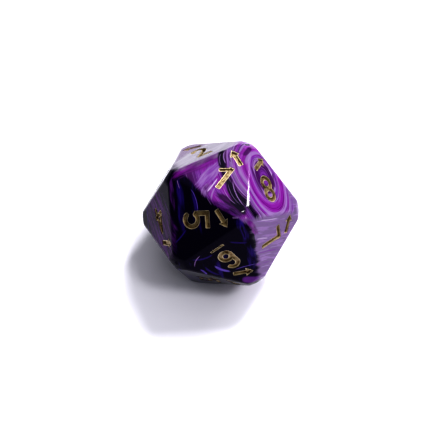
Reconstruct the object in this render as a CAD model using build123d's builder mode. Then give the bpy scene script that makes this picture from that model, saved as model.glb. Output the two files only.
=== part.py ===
from build123d import *
from math import atan2, cos, degrees, pi, radians, sin, sqrt, tan
import os

# A twenty-sided countdown die: one resin casting shaped as an icosahedron with softened
# edges and corners.  Every face carries an engraved number and, next to it, an engraved
# arrow that points across an edge at the next higher number.  Each engraving is lined
# with its own film of metallic paint, so every lining is a piece by itself.
# The die stands on its face 20 with face 1 on top; the origin is the centre of face 20.
# All lengths are in millimetres.

# Driving dimensions: casting
face_to_face = 20.0        # between two opposite faces, which is the height at rest
corner_drop = 0.80         # how far each corner is cut back from the sharp solid's tip
corner_spread = 2.6        # reach of a corner's rounding along its edges, against the drop
edge_round = 0.95          # rounding of the thirty edges and of each corner's rim

# Driving dimensions: engraving
figure_depth = 0.45        # depth of every engraving below its face
stroke = 0.76              # stroke width of a figure that stands alone
pair_stroke = 0.62         # stroke width in a two-figure number
underline_stroke = 0.42    # bar under 6 and 9
stroke_round = 0.13        # rounding of the stroke ends

# Driving dimensions: paint
paint_film = 0.09          # thickness of the paint on an engraving's floor and walls
paint_inset = 0.06         # how far the paint's rim stays below the face

# Artwork proportions, as shares of the edge length, so that the artwork fits its face
figure_share = 0.31        # height of a figure that stands alone
pair_share = 0.25          # height of the figures in a two-figure number
marked_share = 0.29        # height of 6 and 9, which have a bar under them
marked_lift = 0.034        # how far 6 and 9 are lifted to make room for the bar
underline_drop = 0.172     # from the face's centre down to the bar
underline_share = 0.175    # length of the bar
arrow_rise = 0.288         # from the face's centre up to the arrow's centre
arrow_share = 0.228        # length of the arrow, tip to tail
arrow_head_share = 0.085   # length of the arrow's head
arrow_width_share = 0.122  # width of the arrow's head
figure_width = 0.60        # width of a figure against its own height
one_width = 0.42           # width of the figure 1 against its own height
pair_gap = 0.10            # gap inside a two-figure number against its own height

# The icosahedron's own geometry
golden = (1 + sqrt(5)) / 2
edge = face_to_face * sqrt(3) / golden**2
face_distance = face_to_face / 2
corner_distance = edge * sin(2 * pi / 5)
cap_ring = edge / sqrt(3)
belt_ring = golden * cap_ring
belt_height = sqrt(corner_distance**2 - belt_ring**2)
arrow_tilt = 30            # an arrow is square to the edge that it points at


def ring(radius, height, first_angle):
    """Three corners a third of a turn apart."""
    angles = [radians(first_angle + 120 * step) for step in range(3)]
    return [Vector(radius * cos(angle), radius * sin(angle), height) for angle in angles]


corners = ring(cap_ring, face_distance, 90)
corners += ring(belt_ring, belt_height, 30)
corners += ring(belt_ring, -belt_height, 90)
corners += ring(cap_ring, -face_distance, 30)
back_corner, left_corner, right_corner = corners[:3]

# The numbers run round the die in a spiral.  Each number stands on the edge that its face
# shares with the number before, and leaves its face by the left or right upper edge.
way_out = "LLLLRLLRLRLRLRRLRRR"


def across(first, second, behind):
    """The corner of the face beyond an edge, opposite to the corner behind the edge."""
    for corner in corners:
        near_both = abs((corner - first).length - edge) < 0.01 * edge
        near_both = near_both and abs((corner - second).length - edge) < 0.01 * edge
        if near_both and (corner - behind).length > 0.01 * edge:
            return corner
    raise ValueError("the corners don't make an icosahedron")


def walk_faces():
    """Left, right and upper corner of each face, in the order of the numbers."""
    left, right, upper = left_corner, right_corner, back_corner
    walked = [(left, right, upper)]
    for turn in way_out:
        if turn == "L":
            left, right, upper = left, upper, across(left, upper, right)
        else:
            left, right, upper = upper, right, across(upper, right, left)
        walked.append((left, right, upper))
    return walked


faces = walk_faces()
lift = Vector(0, 0, face_distance)


def face_plane(number):
    """Plane of a face: origin at its centre, Y towards its upper corner, Z outward."""
    left, right, upper = faces[number - 1]
    centre = (left + right + upper) * (1 / 3)
    return Plane(origin=centre + lift, x_dir=right - left, z_dir=centre)


# Strokes.  A stroke is drawn full for its engraving, and narrower by an inset all round
# for the hollow that the paint leaves inside the engraving.


def bar(start, end, width, inset):
    """Straight stroke with square, slightly rounded ends."""
    run = Vector(*end) - Vector(*start)
    middle = (Vector(*end) + Vector(*start)) * 0.5
    with Locations(middle):
        RectangleRounded(
            run.length - 2 * inset,
            width - 2 * inset,
            stroke_round - inset,
            rotation=degrees(atan2(run.Y, run.X)),
        )


def hoop(centre, radius, width, inset):
    """Circular stroke."""
    with BuildSketch() as annulus:
        Circle(radius + width / 2 - inset)
        Circle(radius - width / 2 + inset, mode=Mode.SUBTRACT)
    with Locations(centre):
        add(annulus.sketch)


def bow(centre, radius, start_angle, turn, width, inset):
    """Arc stroke with round ends, from its start angle through its turn."""
    with BuildLine() as path:
        arc = CenterArc(centre, radius, start_angle, turn)
    trace(path.line, line_width=width - 2 * inset)
    with Locations(arc @ 0, arc @ 1):
        Circle(width / 2 - inset)


def draw_zero(height, width, inset):
    wide = figure_width * height
    SlotOverall(height - 2 * inset, wide - 2 * inset, rotation=90)
    SlotOverall(
        height - 2 * width + 2 * inset,
        wide - 2 * width + 2 * inset,
        rotation=90,
        mode=Mode.SUBTRACT,
    )


def draw_one(height, width, inset):
    top = height / 2
    stem = one_width * height / 2 - width / 2
    flag_foot = (stem - 0.36 * height, top - 0.33 * height)
    bar((stem, -top), (stem, top), width, inset)
    bar((stem + 0.25 * width, top - 0.3 * width), flag_foot, 0.85 * width, inset)


def draw_two(height, width, inset):
    reach = (figure_width * height - width) / 2
    top = (height - width) / 2
    hook_end = radians(-38)
    hook_foot = (reach * cos(hook_end), top - reach + reach * sin(hook_end))
    bow((0, top - reach), reach, 165, -203, width, inset)
    bar(hook_foot, (-reach - 0.1 * width, -top - 0.2 * width), width, inset)
    bar((-reach - width / 2, -top), (reach + width / 2, -top), width, inset)


def draw_three(height, width, inset):
    reach = (height - width) / 4
    for side, start_angle in ((1, 150), (-1, 90)):
        bow((0, side * reach), reach, start_angle, -240, width, inset)


def draw_four(height, width, inset):
    reach = (figure_width * height - width) / 2
    top = height / 2
    stem = 0.45 * reach
    shelf = -0.17 * height
    bar((stem, -top), (stem, top), width, inset)
    bar((stem, top - width / 2), (-reach, shelf), width, inset)
    bar((-reach - width / 2, shelf), (reach + width / 2, shelf), width, inset)


def draw_five(height, width, inset):
    top = (height - width) / 2
    bowl = 0.325 * height - width / 2
    back = -0.92 * bowl
    bowl_height = bowl - top
    spring = 140
    back_foot = bowl_height + bowl * sin(radians(spring))
    bar((back - width / 2, top), (0.95 * bowl + width / 2, top), width, inset)
    bar((back, top + width / 2), (back, back_foot - width / 4), width, inset)
    bow((0, bowl_height), bowl, spring, -275, width, inset)


def draw_six(height, width, inset):
    reach = (figure_width * height - width) / 2
    shoulder = (height - width) / 2 - reach
    hoop((0, -shoulder), reach, width, inset)
    bar((-reach, -shoulder - width / 2), (-reach, shoulder + width / 2), width, inset)
    bow((0, shoulder), reach, 180, -150, width, inset)


def draw_seven(height, width, inset):
    reach = figure_width * height / 2
    top = (height - width) / 2
    bar((-reach, top), (reach, top), width, inset)
    bar((reach - 0.5 * width, height / 2), (0.05 * height, -height / 2), width, inset)


def draw_eight(height, width, inset):
    reach = (height - width) / 4
    for side in (1, -1):
        hoop((0, side * reach), reach, width, inset)


draw_figure = {
    "0": draw_zero,
    "1": draw_one,
    "2": draw_two,
    "3": draw_three,
    "4": draw_four,
    "5": draw_five,
    "6": draw_six,
    "7": draw_seven,
    "8": draw_eight,
}


def figure_outline(figure, height, width, inset):
    """One figure, centred on the origin and upright along Y."""
    with BuildSketch() as outline:
        draw_figure["6" if figure == "9" else figure](height, width, inset)
    return outline.sketch.rotate(Axis.Z, 180 if figure == "9" else 0)


def number_outline(number, inset=0):
    """The whole number of a face, in its face's own axes."""
    figures = str(number)
    marked = figures in ("6", "9")
    if len(figures) == 1:
        height = edge * (marked_share if marked else figure_share)
        width = stroke
        places = [0]
    else:
        height = edge * pair_share
        width = pair_stroke
        advances = [(one_width if figure == "1" else figure_width) * height for figure in figures]
        whole = sum(advances) + pair_gap * height
        places = [(advances[0] - whole) / 2, (whole - advances[1]) / 2]
    rise = marked_lift * edge if marked else 0
    half_bar = underline_share * edge / 2
    bar_height = -underline_drop * edge
    with BuildSketch() as outline:
        for figure, place in zip(figures, places):
            with Locations((place, rise)):
                add(figure_outline(figure, height, width, inset))
        if marked:
            bar((-half_bar, bar_height), (half_bar, bar_height), underline_stroke, inset)
    return outline.sketch


def arrow_outline(number, inset=0):
    """The arrow of a face, in its face's own axes, pointing at the next number."""
    tip = arrow_share * edge / 2
    neck = tip - arrow_head_share * edge
    wing = arrow_width_share * edge / 2
    half_angle = atan2(wing, tip - neck)
    tip_inset = inset / sin(half_angle)
    with BuildSketch() as outline:
        with BuildLine():
            Polyline(
                (tip - tip_inset, 0),
                (neck + inset, (tip - tip_inset - neck - inset) * tan(half_angle)),
                (neck + inset, -(tip - tip_inset - neck - inset) * tan(half_angle)),
                close=True,
            )
        make_face()
        bar((-tip, 0), (neck + stroke, 0), stroke, inset)
    to_left = way_out[number - 1] == "L"
    turn = 180 - arrow_tilt if to_left else arrow_tilt
    return Pos(0, arrow_rise * edge) * outline.sketch.rotate(Axis.Z, turn)


numbers = range(1, 21)
arrow_numbers = range(1, 20)

# Cutter for one corner.  A ball passes through the cut-back tip and through the points where
# the rounding starts on the edges, and the cutter is what lies outside that ball, down to
# where the ball is nearest to the edges.  The cutter's origin is the sharp corner and its Z
# axis points away from the die.
edge_drop = edge / 2 / corner_distance      # how fast an edge falls from its corner
corner_reach = corner_spread * corner_drop
ball_radius = corner_drop**2 - 2 * corner_drop * corner_reach * edge_drop + corner_reach**2
ball_radius /= 2 * (corner_reach * edge_drop - corner_drop)
ball_depth = corner_drop + ball_radius
cutter_depth = ball_depth * edge_drop**2
cutter_reach = sqrt(ball_radius**2 - (ball_depth - cutter_depth) ** 2)
cutter_angle = (atan2(ball_depth - cutter_depth, cutter_reach) + pi / 2) / 2
cutter_rise = corner_drop

with BuildPart() as corner_cutter:
    with BuildSketch(Plane.XZ):
        with BuildLine():
            Polyline(
                (0, -corner_drop),
                (0, cutter_rise),
                (ball_radius, cutter_rise),
                (ball_radius, -cutter_depth),
                (cutter_reach, -cutter_depth),
            )
            ThreePointArc(
                (cutter_reach, -cutter_depth),
                (ball_radius * cos(cutter_angle), ball_radius * sin(cutter_angle) - ball_depth),
                (0, -corner_drop),
            )
        make_face()
    revolve(axis=Axis.Z)

os.makedirs("parts", exist_ok=True)

# The casting
corner_planes = [Plane(origin=corner + lift, z_dir=corner) for corner in corners]
flat_faces = [Face(Wire.make_polygon([corner + lift for corner in face])) for face in faces]

with BuildPart() as die_body:
    add(Solid(Shell(flat_faces)))
    with Locations(*[Location(plane) for plane in corner_planes]):
        add(corner_cutter.part, mode=Mode.SUBTRACT)
    fillet(die_body.edges(), radius=edge_round)
    for number in numbers:
        with BuildSketch(face_plane(number)):
            add(number_outline(number))
            if number in arrow_numbers:
                add(arrow_outline(number))
        extrude(amount=-figure_depth, mode=Mode.SUBTRACT)

die_body.part.label = "die_body"
export_step(die_body.part, "parts/die_body.step")


def paint_lining(name, number, outline):
    """The paint film of one engraving: its floor and walls."""
    floor_plane = face_plane(number).offset(-figure_depth)
    with BuildPart() as lining:
        with BuildSketch(floor_plane):
            add(outline(number))
        extrude(amount=figure_depth - paint_inset)
        with BuildSketch(floor_plane.offset(paint_film)):
            add(outline(number, paint_film))
        extrude(amount=figure_depth, mode=Mode.SUBTRACT)
    lining.part.label = name
    export_step(lining.part, f"parts/{name}.step")


for number in numbers:
    paint_lining(f"numeral_{number:02d}", number, number_outline)
for number in arrow_numbers:
    paint_lining(f"arrow_{number:02d}", number, arrow_outline)
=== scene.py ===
import bpy
from math import cos, pi, radians, sin, sqrt
from mathutils import Matrix, Vector


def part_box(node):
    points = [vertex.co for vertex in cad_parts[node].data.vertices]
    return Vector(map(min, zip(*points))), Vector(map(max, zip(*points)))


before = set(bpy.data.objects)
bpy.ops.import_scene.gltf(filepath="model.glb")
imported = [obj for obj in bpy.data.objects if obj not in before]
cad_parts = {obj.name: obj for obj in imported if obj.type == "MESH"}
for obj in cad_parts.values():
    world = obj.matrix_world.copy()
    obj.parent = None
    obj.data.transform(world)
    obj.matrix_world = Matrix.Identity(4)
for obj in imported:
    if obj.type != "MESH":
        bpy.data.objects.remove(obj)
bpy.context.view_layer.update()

print("die: frame loaded,", len(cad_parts), "pieces")

# the corners of the die before they were rounded, worked out from its height
dieFloor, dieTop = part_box("die_body")[0][2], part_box("die_body")[1][2]
faceDistance = (dieTop - dieFloor) / 2
dieCentre = Vector((0, 0, dieFloor + faceDistance))
golden = (1 + sqrt(5)) / 2
edge = 2 * faceDistance * sqrt(3) / golden ** 2
capRadius = edge / sqrt(3)                        # from the axis to the corners of the top face
beltRadius = golden * capRadius                   # and to the corners round the middle
beltHeight = sqrt((edge * sin(2 * pi / 5)) ** 2 - beltRadius ** 2)
numberWalk = "LLLLRLLRLRLRLRRLRRR"                # the side of each face that the next number is on


def cornerRing(radius, height, firstAngle):
    angles = [radians(firstAngle + turn) for turn in (0, 120, 240)]
    return [Vector((radius * cos(angle), radius * sin(angle), height)) for angle in angles]


corners = cornerRing(capRadius, faceDistance, 90) + cornerRing(beltRadius, beltHeight, 30)
corners += cornerRing(beltRadius, -beltHeight, 90) + cornerRing(capRadius, -faceDistance, 30)


def across(first, second, behind):
    # the third corner of the face beyond the edge first-second
    slack = 0.01 * edge
    for corner in corners:
        isNear = all(abs((corner - end).length - edge) < slack for end in (first, second))
        if isNear and (corner - behind).length > slack:
            return corner


def walkFaces():
    # the corners of faces 1 to 20, named as they look with the number upright
    left, right, upper = corners[1], corners[2], corners[0]
    found = {1: {"left": left, "right": right, "upper": upper}}
    for number, turn in enumerate(numberWalk, 2):
        if turn == "L":
            left, right, upper = left, upper, across(left, upper, right)
        else:
            left, right, upper = upper, right, across(upper, right, left)
        found[number] = {"left": left, "right": right, "upper": upper}
    return found


faces = walkFaces()


def faceAxes(number):
    # unit axes of a face: along its lower edge, up the face and out of it
    left, right, upper = faces[number].values()
    upwards = upper - (left + right) / 2
    return (right - left).normalized(), upwards.normalized(), (left + right + upper).normalized()


def onFace(number, x, y):
    # a point of a face, in edge lengths from the middle of its lower edge
    acrossAxis, upAxis = faceAxes(number)[:2]
    middle = (faces[number]["left"] + faces[number]["right"]) / 2
    return middle + dieCentre + edge * (x * acrossAxis + y * upAxis)


class Field:
    # a value over the surface that can be added and multiplied like a number

    def __init__(self, tree, socket):
        self.tree = tree
        self.socket = socket

    def node(self, kind, settings, sockets):
        # a new node: its settings first, then the values or links of its sockets
        made = self.tree.nodes.new(kind)
        for name, value in settings.items():
            if name == "stops":
                setStops(made.color_ramp, value)
            else:
                setattr(made, name, value)
        for key, value in sockets.items():
            if isinstance(value, Field):
                self.tree.links.new(value.socket, made.inputs[key])
            else:
                made.inputs[key].default_value = value
        return made

    def out(self, kind, settings, sockets, output=0):
        return Field(self.tree, self.node(kind, settings, sockets).outputs[output])

    def maths(self, operation, *values):
        return self.out("ShaderNodeMath", {"operation": operation}, dict(enumerate(values)))

    def __add__(self, other):
        return self.maths("ADD", self, other)

    def __radd__(self, other):
        return self.maths("ADD", other, self)

    def __sub__(self, other):
        return self.maths("SUBTRACT", self, other)

    def __rsub__(self, other):
        return self.maths("SUBTRACT", other, self)

    def __mul__(self, other):
        return self.maths("MULTIPLY", self, other)

    def __rmul__(self, other):
        return self.maths("MULTIPLY", other, self)

    def __pow__(self, other):
        return self.maths("POWER", self, other)

    def __rpow__(self, other):
        return self.maths("POWER", other, self)

    def vectorMaths(self, operation, other, output=0):
        sockets = {0: self, 1: other}
        return self.out("ShaderNodeVectorMath", {"operation": operation}, sockets, output)

    def along(self, origin, axis):
        # how far this position lies from origin along an axis, in edge lengths
        away = self.vectorMaths("SUBTRACT", tuple(origin))
        return away.vectorMaths("DOT_PRODUCT", tuple(axis / edge), output=1)

    def rise(self, low, high):
        # 0 below low, 1 above high, smooth between
        sockets = {"Value": self, "From Min": low, "From Max": high}
        return self.out("ShaderNodeMapRange", {"interpolation_type": "SMOOTHSTEP"}, sockets)

    def noise(self, scale, detail, roughness, output=0):
        # soft noise at this position, 0.5 on average
        sockets = {"Vector": self, "Scale": scale, "Detail": detail, "Roughness": roughness}
        return self.out("ShaderNodeTexNoise", {"noise_dimensions": "3D"}, sockets, output)

    def ramp(self, stops):
        return self.out("ShaderNodeValToRGB", {"stops": stops}, {"Fac": self})

    def tint(self, colour):
        # one colour all over
        made = self.node("ShaderNodeRGB", {}, {})
        made.outputs[0].default_value = (*colour, 1)
        return Field(self.tree, made.outputs[0])

    def over(self, base, mask):
        # this colour laid over a base colour where the mask is 1
        mix = {"data_type": "RGBA", "blend_type": "MIX"}
        return self.out("ShaderNodeMix", mix, {0: mask, 6: base, 7: self}, output=2)


def setStops(colorRamp, stops):
    colorRamp.interpolation = "LINEAR"
    while len(colorRamp.elements) < len(stops):
        colorRamp.elements.new(0.5)
    for element, (place, colour) in zip(colorRamp.elements, stops):
        element.position = place
        element.color = (*colour, 1)


def startMaterial(name):
    material = bpy.data.materials.new(name)
    material.use_nodes = True
    tree = material.node_tree
    shader = tree.nodes["Principled BSDF"]
    coordinates = tree.nodes.new("ShaderNodeTexCoord")
    return material, shader, Field(tree, coordinates.outputs["Object"])


def feed(field, shader, socketName):
    field.tree.links.new(field.socket, shader.inputs[socketName])


# lengths in the resin are in edge lengths of the die
resin = {
    "ink": (0.006, 0.003, 0.016),
    "navy": (0.036, 0.015, 0.165),
    "indigo": (0.160, 0.100, 0.420),
    "plum": (0.060, 0.008, 0.085),
    "violet": (0.160, 0.040, 0.250),
    "magenta": (0.185, 0.017, 0.235),
    "orchid": (0.240, 0.050, 0.305),
    "lilac": (0.245, 0.145, 0.325),
    "pale": (0.430, 0.340, 0.500),
    "mauve": (0.165, 0.100, 0.225),
    # greys of painted reflection: the bright room mirrored in face 2 at a grazing angle
    "paintedReflectionDark": (0.140, 0.120, 0.165),
    "paintedReflectionLight": (0.220, 0.195, 0.245),
    "roughness": 0.12,
    "ior": 1.45,
    "specular": 0.10,
    "gloss": 0.45,                                # of the clear skin over the pearly bands
    "glossRoughness": 0.07,
    "bend": {"size": 0.05, "scale": 160.0, "detail": 2.0, "roughness": 0.5},
    "eddy": {
        "face": 8,
        "centre": (0.0, 0.42),
        "shape": (2.1, 1.0, 3.0),                 # how fast the bands follow: across, up and into the face
        "reach": 1.2,
        "bands": [                                # distance from the centre and colour
            (0.00, "plum"), (0.05, "violet"), (0.13, "plum"), (0.18, "plum"), (0.205, "lilac"),
            (0.235, "lilac"), (0.25, "violet"), (0.27, "violet"), (0.29, "lilac"), (0.305, "orchid"),
            (0.34, "magenta"), (0.38, "magenta"), (0.40, "orchid"), (0.43, "lilac"), (0.455, "lilac"),
            (0.47, "violet"), (0.49, "magenta"), (0.51, "lilac"), (0.55, "mauve"), (0.57, "violet"),
            (0.59, "lilac"), (0.61, "plum"), (0.64, "ink"), (0.70, "ink"), (0.74, "violet"),
            (0.80, "magenta"), (0.88, "violet"), (0.98, "magenta"), (1.06, "violet"), (1.20, "plum"),
        ],
        # cuts: how finely a noise is cut across the bands, along the face, out of it and up it
        "threads": {"cuts": (34.0, 2.2, 1.0, 1.6), "detail": 3.0, "roughness": 0.65},
        "threadSway": 0.08,                       # how far they move the bands
        "ribbons": {"cuts": (7.0, 1.4, 1.0, 1.4), "detail": 2.0, "roughness": 0.5},
        "ribbonSway": 0.05,
        "hairs": {"cuts": (75.0, 3.0, 0.0, 2.4), "detail": 2.0, "roughness": 0.6},
        "lightHairs": (0.55, 0.68, 0.45),         # from and to in the noise, and strength
        "darkHairs": (0.52, 0.66, 0.75),
    },
    # fray: how far the threads carry a rim; fade: where the colour behind it starts and is full
    "veil": {                                     # the mauve beyond face 8
        "threads": {"cuts": (22.0, 2.0, 2.0), "detail": 3.0, "roughness": 0.6},
        "stops": [(0.30, "violet"), (0.42, "mauve"), (0.56, "mauve"), (0.62, "lilac"), (0.74, "mauve")],
        "lowFray": 0.10,                          # past face 8's lower edge
        "lowFade": (-0.01, 0.05),
        "sideFray": 0.15,                         # to the right of the eddy
        "sideFade": (0.26, 0.38),
    },
    "dark": {                                     # the dark pour over faces 4, 5 and 6
        "threads": {"cuts": (1.3, 9.0, 3.0), "detail": 3.0, "roughness": 0.6},
        "stops": [(0.58, "ink"), (0.70, "navy"), (0.73, "ink"), (0.84, "navy")],
        "leftSlant": 0.30,                        # its rim runs slantwise to the edge of faces 1 and 5
        "leftLimit": 0.035,                       # and comes no farther than this
        "leftFray": 0.05,
        "leftFade": (0.0, 0.035),
        "lowShift": 0.035,                        # it starts this far before the edge of faces 6 and 7
        "lowFray": 0.22,
        "lowFade": (-0.03, 0.05),
    },
    # depth: how fast a patch or streak ends above and below its face
    "patch": {"depth": 11.0, "length": 1.1, "detail": 3.0, "roughness": 0.6,
              "darkAt": 0.36, "lightAt": 0.66, "ragged": 1.6, "fade": 0.7},
    "streak": {"depth": 7.0, "fade": 0.8},
}

# patches of parallel threads: face, middle, heading in degrees, half length, half width,
# threads in an edge length, dark and light colour, strength
patches = [
    (1, (-0.13, 0.23), 86, 0.22, 0.085, 34, "violet", "lilac", 1.0),
    (1, (-0.31, 0.24), 62, 0.42, 0.080, 30, "plum", "magenta", 0.9),
    (1, (-0.05, 0.06), 100, 0.10, 0.060, 40, "plum", "lilac", 0.8),
    # painted reflection: the grey wash of the bright room over face 2
    (2, (0.06, 0.25), 20, 0.60, 0.300, 9, "paintedReflectionDark", "paintedReflectionLight", 1.0),
    (4, (0.03, 0.33), 95, 0.48, 0.330, 20, "ink", "violet", 0.7),
    (1, (0.27, 0.05), -8, 0.24, 0.055, 26, "ink", "plum", 1.0),
    (5, (-0.16, 0.12), 2, 0.34, 0.045, 20, "ink", "navy", 1.0),
    (5, (-0.10, 0.30), 8, 0.28, 0.030, 30, "ink", "navy", 0.9),
    (5, (-0.30, 0.03), 3, 0.22, 0.030, 30, "ink", "violet", 0.7),
    (5, (-0.09, 0.66), 62, 0.22, 0.045, 26, "ink", "violet", 0.9),
    (6, (-0.20, 0.46), 60, 0.20, 0.060, 22, "ink", "navy", 1.0),
    (7, (-0.33, 0.05), 20, 0.16, 0.040, 30, "plum", "magenta", 0.8),
]

# single streaks: face, start, end, bow to the left, half width, strength, colour
streaks = [
    (1, (-0.19, 0.60), (-0.02, 0.36), -0.02, 0.050, 1.0, "ink"),
    (1, (-0.15, 0.59), (-0.05, 0.45), -0.02, 0.009, 0.9, "lilac"),
    (1, (-0.17, 0.54), (-0.08, 0.40), -0.02, 0.007, 0.7, "mauve"),
    (1, (-0.10, 0.62), (-0.01, 0.50), -0.02, 0.009, 0.8, "plum"),
    (1, (-0.03, 0.25), (-0.03, 0.04), 0.01, 0.010, 0.9, "pale"),
    (1, (0.02, 0.14), (0.06, -0.02), -0.01, 0.012, 0.8, "lilac"),
    (1, (0.09, 0.25), (0.46, 0.06), -0.03, 0.046, 1.0, "ink"),
    (1, (0.22, 0.08), (0.47, 0.03), 0.00, 0.035, 0.9, "ink"),
    (1, (0.12, 0.31), (0.40, 0.10), -0.03, 0.007, 0.9, "lilac"),
    (1, (0.10, 0.25), (0.36, 0.09), -0.03, 0.005, 0.7, "mauve"),
    (1, (0.08, 0.19), (0.32, 0.07), -0.03, 0.006, 0.7, "lilac"),
    (1, (0.01, 0.74), (-0.02, 0.62), 0.02, 0.028, 0.8, "magenta"),
    (1, (0.09, 0.74), (0.10, 0.60), 0.00, 0.022, 0.8, "plum"),
    (1, (0.02, 0.84), (-0.02, 0.78), 0.00, 0.022, 1.0, "ink"),
    (8, (-0.11, 0.65), (0.10, 0.63), 0.04, 0.009, 0.9, "magenta"),
    (8, (-0.20, 0.58), (0.10, 0.68), 0.07, 0.028, 0.9, "lilac"),
    (8, (-0.15, 0.58), (-0.10, 0.22), -0.02, 0.022, 0.8, "plum"),
    (8, (0.12, 0.52), (0.14, 0.36), 0.01, 0.007, 0.9, "pale"),
    (8, (0.17, 0.46), (0.12, 0.28), -0.01, 0.020, 0.8, "plum"),
    (8, (-0.02, 0.78), (-0.16, 0.70), 0.00, 0.030, 0.9, "plum"),
    (5, (0.00, 0.77), (0.00, 0.69), 0.00, 0.014, 0.8, "mauve"),
    (5, (-0.34, 0.24), (-0.08, 0.31), 0.03, 0.006, 0.8, "indigo"),
    (5, (-0.43, 0.10), (-0.33, 0.12), 0.00, 0.006, 0.9, "lilac"),
    (5, (-0.24, 0.42), (-0.14, 0.47), 0.00, 0.007, 0.8, "mauve"),
    (5, (0.09, 0.17), (0.24, 0.03), 0.01, 0.010, 0.8, "navy"),
    (6, (-0.18, 0.57), (0.06, 0.48), -0.01, 0.006, 0.9, "indigo"),
    (6, (0.10, 0.48), (0.18, 0.28), 0.02, 0.020, 1.0, "indigo"),
    (6, (0.08, 0.14), (0.30, 0.05), 0.03, 0.016, 0.8, "navy"),
    (6, (0.22, 0.44), (0.26, 0.22), 0.02, 0.014, 0.8, "navy"),
    (6, (0.19, 0.06), (0.34, 0.16), -0.02, 0.007, 1.0, "lilac"),
    (6, (0.32, 0.22), (0.32, 0.34), 0.01, 0.012, 0.8, "indigo"),
    (6, (-0.30, 0.26), (-0.16, 0.12), 0.01, 0.014, 0.8, "navy"),
    (6, (-0.08, 0.80), (0.08, 0.64), 0.00, 0.060, 0.9, "violet"),
    (7, (-0.34, 0.16), (-0.18, 0.44), 0.00, 0.007, 0.7, "pale"),
    (7, (-0.16, 0.06), (-0.04, 0.24), 0.00, 0.010, 0.6, "pale"),
    (7, (0.02, 0.04), (0.12, 0.24), 0.00, 0.012, 0.5, "lilac"),
    (7, (-0.30, 0.015), (-0.04, 0.020), 0.00, 0.035, 1.0, "ink"),
]


def resinStops(stops, reach=1.0):
    return [(place / reach, resin[name]) for place, name in stops]


def lanes(x, y, z, grain):
    # noise over three distances, long in the ones that are cut coarsely
    place = x.out("ShaderNodeCombineXYZ", {}, {"X": x, "Y": y, "Z": z})
    return place.noise(1.0, grain["detail"], grain["roughness"])


def bendPlace(place):
    # positions pushed about by slow noise, so that all bands of colour wander
    bend = resin["bend"]
    size = bend["size"] * edge
    push = place.noise(bend["scale"], bend["detail"], bend["roughness"], output=1)
    push = push.vectorMaths("SUBTRACT", (0.5, 0.5, 0.5))
    push = push.vectorMaths("MULTIPLY", (size, size, size))
    return place.vectorMaths("ADD", push)


def eddyPlace(flow):
    # a position as seen from the eddy's centre: across, up and out of its face
    eddy = resin["eddy"]
    centre = onFace(eddy["face"], *eddy["centre"])
    return [flow.along(centre, axis) for axis in faceAxes(eddy["face"])]


def makeEddy(u, v, w):
    # shells of colour round the eddy's centre, with threads that run along them
    eddy = resin["eddy"]
    flatten, lengthen, deepen = eddy["shape"]
    shell = (u * u * flatten + v * v * lengthen + w * w * deepen) ** 0.5

    def shellLanes(grain):
        finely, alongU, alongW, alongV = grain["cuts"]
        return lanes(shell * finely, u * alongU + w * alongW, v * alongV, grain)

    thread = shellLanes(eddy["threads"])
    ribbon = shellLanes(eddy["ribbons"])
    hair = shellLanes(eddy["hairs"])
    sway = (thread - 0.5) * eddy["threadSway"] + (ribbon - 0.5) * eddy["ribbonSway"]
    colour = ((shell + sway) * (1 / eddy["reach"])).ramp(resinStops(eddy["bands"], eddy["reach"]))
    low, high, strength = eddy["lightHairs"]
    colour = u.tint(resin["lilac"]).over(colour, hair.rise(low, high) * strength)
    low, high, strength = eddy["darkHairs"]
    colour = u.tint(resin["plum"]).over(colour, (1 - hair).rise(low, high) * strength)
    return colour, thread


def beyondEdge(place, first, second, inside):
    # distance past the plane through an edge and the die's centre, away from inside
    normal = first.cross(second).normalized()
    if normal.dot(inside) > 0:
        normal = -normal
    return place.along(dieCentre, normal)


def makeDark(flow):
    # nearly black resin with blue threads that run along face 5
    grain = resin["dark"]["threads"]
    distances = [flow.along(dieCentre, axis) for axis in faceAxes(5)]
    x, y, z = [distance * cut for distance, cut in zip(distances, grain["cuts"])]
    return lanes(x, y, z, grain).ramp(resinStops(resin["dark"]["stops"]))


def darkReach(flow, thread, veilThread):
    # 1 in the dark pour: past face 5's edge with face 1 and past face 6's edge with face 7
    dark = resin["dark"]
    front, left = faces[5]["upper"], faces[5]["left"]
    pastLeft = beyondEdge(flow, front, left, faces[1]["upper"])
    alongEdge = flow.along((front + left) / 2 + dieCentre, (front - left).normalized())
    pastLeft = pastLeft - alongEdge.maths("MINIMUM", alongEdge * dark["leftSlant"], dark["leftLimit"])
    pastLow = beyondEdge(flow, front, faces[6]["upper"], faces[8]["right"]) + dark["lowShift"]
    leftMask = (pastLeft + (thread - 0.5) * dark["leftFray"]).rise(*dark["leftFade"])
    return leftMask * (pastLow + (veilThread - 0.5) * dark["lowFray"]).rise(*dark["lowFade"])


def layPatch(place, colour, patch):
    # a patch of threads on a face, fading out at its rim
    number, middle, heading, halfLength, halfWidth, threads, dark, light, strength = patch
    grain = resin["patch"]
    acrossAxis, upAxis, normal = faceAxes(number)
    centre = onFace(number, *middle)
    turn = radians(heading)
    share = place.along(centre, cos(turn) * acrossAxis + sin(turn) * upAxis) * (1 / halfLength)
    side = place.along(centre, cos(turn) * upAxis - sin(turn) * acrossAxis) * (1 / halfWidth)
    height = place.along(centre, normal) * grain["depth"]
    thread = lanes(side * (threads * halfWidth), share * grain["length"], height, grain)
    fill = thread.ramp([(grain["darkAt"], resin[dark]), (grain["lightAt"], resin[light])])
    mask = 1 - share * share - side * side - height * height + (thread - 0.5) * grain["ragged"]
    return fill.over(colour, mask.rise(0.0, grain["fade"]) * strength)


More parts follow.
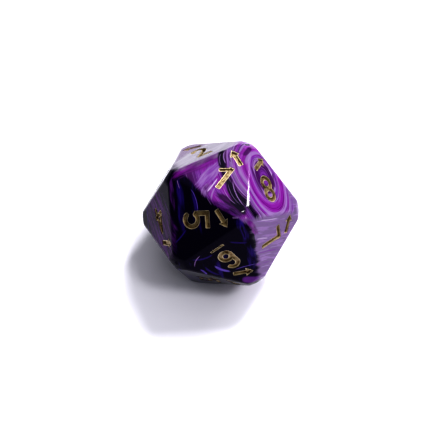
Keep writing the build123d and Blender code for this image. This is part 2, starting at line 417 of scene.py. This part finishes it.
def layStreak(place, colour, streak):
    # one bowed streak on a face
    number, start, end, bow, halfWidth, strength, name = streak
    start, end = Vector(start), Vector(end)
    acrossAxis, upAxis, normal = faceAxes(number)
    centre = onFace(number, *((start + end) / 2))
    heading = (end - start).normalized()
    longAxis = heading.x * acrossAxis + heading.y * upAxis
    sideAxis = heading.x * upAxis - heading.y * acrossAxis
    share = place.along(centre, longAxis) * (2 / (end - start).length)
    share = share * share
    side = (place.along(centre, sideAxis) - bow * (1 - share)) * (1 / halfWidth)
    height = place.along(centre, normal) * resin["streak"]["depth"]
    mask = (1 - share * share - side * side - height * height).rise(0.0, resin["streak"]["fade"])
    return place.tint(resin[name]).over(colour, mask * strength)


def makeResin():
    material, shader, place = startMaterial("swirledResin")
    flow = bendPlace(place)
    u, v, w = eddyPlace(flow)
    colour, thread = makeEddy(u, v, w)

    # the mauve veil lies past face 8's lower edge and to the right of the eddy
    veil = resin["veil"]
    pastEddy = beyondEdge(flow, faces[5]["upper"], faces[8]["right"], faces[8]["upper"])
    finely, alongU, alongW = veil["threads"]["cuts"]
    veilThread = lanes(pastEddy * finely, u * alongU, w * alongW, veil["threads"])
    veilColour = veilThread.ramp(resinStops(veil["stops"]))
    lowMask = (pastEddy + (thread - 0.5) * veil["lowFray"]).rise(*veil["lowFade"])
    colour = veilColour.over(colour, lowMask)
    colour = veilColour.over(colour, (u + (thread - 0.5) * veil["sideFray"]).rise(*veil["sideFade"]))

    darkMask = darkReach(flow, thread, veilThread)
    colour = makeDark(flow).over(colour, darkMask)
    for patch in patches:
        colour = layPatch(flow, colour, patch)
    for streak in streaks:
        colour = layStreak(flow, colour, streak)

    feed(colour, shader, "Base Color")
    feed((1 - darkMask) * resin["gloss"], shader, "Coat Weight")
    shader.inputs["Roughness"].default_value = resin["roughness"]
    shader.inputs["IOR"].default_value = resin["ior"]
    shader.inputs["Specular IOR Level"].default_value = resin["specular"]
    shader.inputs["Coat Roughness"].default_value = resin["glossRoughness"]
    return material


# the recess walls are coloured lighter as painted light and the recess floor darker as painted shade
paint = {
    "litWallPaint": (0.620, 0.530, 0.350),
    "floorPaint": (0.290, 0.230, 0.135),
    "shadedFloorPaint": (0.110, 0.062, 0.024),
    "metallic": 0.60,
    "wallDepth": 0.00031,                         # metres below the face where walls meet the floor
    "wallFade": (0.8, 1.12),                      # shares of wallDepth where floorPaint starts and is full
    "mottle": {"scale": 1500.0, "detail": 3.0, "roughness": 0.65},
    "floorMottle": (0.34, 0.56),                  # the noise where the darker and the lighter paint is pure
    "wallMottle": (0.28, 0.50),
    "roughness": 0.21,                            # where the mottle is 0
    "mottledRoughness": 0.35,                     # and how much it adds
    "grain": 0.35,
    "grainHeight": 0.00004,                       # metres
}


def depthBelowFace(place):
    # how deep a point lies under the nearest face, in edge lengths
    normals = [faceAxes(number)[2] for number in faces]
    reach = place.along(dieCentre, normals[0])
    for normal in normals[1:]:
        reach = reach.maths("MAXIMUM", reach, place.along(dieCentre, normal))
    return faceDistance / edge - reach


def mottled(mottle, dark, light, stops):
    return mottle.ramp([(stops[0], paint[dark]), (stops[1], paint[light])])


def makePaint():
    material, shader, place = startMaterial("goldPaint")
    mottle = place.noise(**paint["mottle"])
    low, high = [share * paint["wallDepth"] / edge for share in paint["wallFade"]]
    # painted shade on the recess floor, painted light on the recess walls
    onFloor = depthBelowFace(place).rise(low, high)
    floorColour = mottled(mottle, "shadedFloorPaint", "floorPaint", paint["floorMottle"])
    litWallColour = mottled(mottle, "floorPaint", "litWallPaint", paint["wallMottle"])
    bumps = {"Height": mottle, "Strength": paint["grain"], "Distance": paint["grainHeight"]}
    feed(floorColour.over(litWallColour, onFloor), shader, "Base Color")
    feed(mottle * paint["mottledRoughness"] + paint["roughness"], shader, "Roughness")
    feed(place.out("ShaderNodeBump", {}, bumps), shader, "Normal")
    shader.inputs["Metallic"].default_value = paint["metallic"]
    return material


resinMaterial = makeResin()
paintMaterial = makePaint()
for name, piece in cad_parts.items():
    piece.data.materials.clear()
    piece.data.materials.append(resinMaterial if name == "die_body" else paintMaterial)
print("die: resin and paint laid on")

# lights shine from where "towards" points; spread is in degrees, the strip's sizes in metres
stage = {
    "floorHalfWidth": 6.0,
    "floorColour": (0.88, 0.865, 0.935),
    "floorRoughness": 0.9,
    "floorSpecular": 0.1,
    "backLight": {"towards": (0.0445, 0.505, 0.862), "strength": 1.60, "spread": 11.0},
    "sideLight": {"towards": (0.481, 0.023, 0.876), "strength": 0.62, "spread": 10.0},
    "domeLight": {"towards": (0.10, 0.20, 0.97), "strength": 1.08, "spread": 105.0},
    "stripLight": {"towards": (0.217, 0.728, 0.650), "distance": 0.30, "size": (0.20, 0.010), "power": 0.22},
    "roomColour": (0.80, 0.84, 1.0),
    "roomStrength": 0.06,
}


def makeFloor():
    half = stage["floorHalfWidth"]
    ring = [(-half, -half), (half, -half), (half, half), (-half, half)]
    mesh = bpy.data.meshes.new("floor")
    mesh.from_pydata([(x, y, dieFloor) for x, y in ring], [], [(0, 1, 2, 3)])
    floor = bpy.data.objects.new("floor", mesh)
    bpy.context.collection.objects.link(floor)
    material, shader = startMaterial("paper")[:2]
    shader.inputs["Base Color"].default_value = (*stage["floorColour"], 1)
    shader.inputs["Roughness"].default_value = stage["floorRoughness"]
    shader.inputs["Specular IOR Level"].default_value = stage["floorSpecular"]
    mesh.materials.append(material)


def makeSun(name):
    settings = stage[name]
    light = bpy.data.lights.new(name, "SUN")
    light.energy = settings["strength"]
    light.angle = radians(settings["spread"])
    lamp = bpy.data.objects.new(name, light)
    lamp.rotation_euler = Vector(settings["towards"]).to_track_quat("Z", "Y").to_euler()
    bpy.context.collection.objects.link(lamp)


def makeStrip(name):
    # a narrow softbox that draws the bright line on the upper front edge
    settings = stage[name]
    towards = Vector(settings["towards"]).normalized()
    shortSide = (faces[1]["upper"] - faces[1]["right"]).normalized()
    longSide = shortSide.cross(towards).normalized()
    shortSide = towards.cross(longSide)
    light = bpy.data.lights.new(name, "AREA")
    light.shape = "RECTANGLE"
    light.size, light.size_y = settings["size"]
    light.energy = settings["power"]
    lamp = bpy.data.objects.new(name, light)
    turnMatrix = Matrix((longSide, shortSide, towards)).transposed().to_4x4()
    lamp.matrix_world = Matrix.Translation(dieCentre + settings["distance"] * towards) @ turnMatrix
    bpy.context.collection.objects.link(lamp)


def makeRoom():
    world = bpy.data.worlds.new("room")
    world.use_nodes = True
    background = world.node_tree.nodes["Background"]
    background.inputs["Color"].default_value = (*stage["roomColour"], 1)
    background.inputs["Strength"].default_value = stage["roomStrength"]
    bpy.context.scene.world = world


makeFloor()
for lightName in ("backLight", "sideLight", "domeLight"):
    makeSun(lightName)
makeStrip("stripLight")
makeRoom()
bpy.context.scene.view_settings.view_transform = "Standard"
bpy.context.scene.view_settings.look = "Very High Contrast"
print("die: floor and lights placed")

view = {
    "turn": 30.15,                                # degrees round the die, 0 looking along +Y
    "rise": 58.27,                                # degrees above the floor
    "roll": 2.61,                                 # degrees the camera is held askew
    "distance": 10.69 * edge,
    "lens": 75.96,                                # millimetres, on a sensor 36 wide
    "sensor": 36.0,
    "nearest": 0.001,                             # metres
    "aimRight": 0.0461 * edge,                    # the aim lies a little right of and below the die's centre
    "aimUp": -0.1141 * edge,
}


def makeCamera():
    turn, rise, roll = [radians(view[name]) for name in ("turn", "rise", "roll")]
    back = Vector((sin(turn) * cos(rise), -cos(turn) * cos(rise), sin(rise)))
    right = Vector((cos(turn), sin(turn), 0))
    up = back.cross(right)
    place = dieCentre + view["distance"] * back
    aim = dieCentre + view["aimRight"] * right + view["aimUp"] * up
    back = (place - aim).normalized()
    right = up.cross(back).normalized()
    up = back.cross(right)
    right, up = cos(roll) * right + sin(roll) * up, cos(roll) * up - sin(roll) * right
    data = bpy.data.cameras.new("camera")
    data.lens = view["lens"]
    data.sensor_width = view["sensor"]
    data.clip_start = view["nearest"]
    camera = bpy.data.objects.new("camera", data)
    turnMatrix = Matrix((right, up, back)).transposed().to_4x4()
    camera.matrix_world = Matrix.Translation(place) @ turnMatrix
    bpy.context.collection.objects.link(camera)
    bpy.context.scene.camera = camera


makeCamera()

print("die: finished")
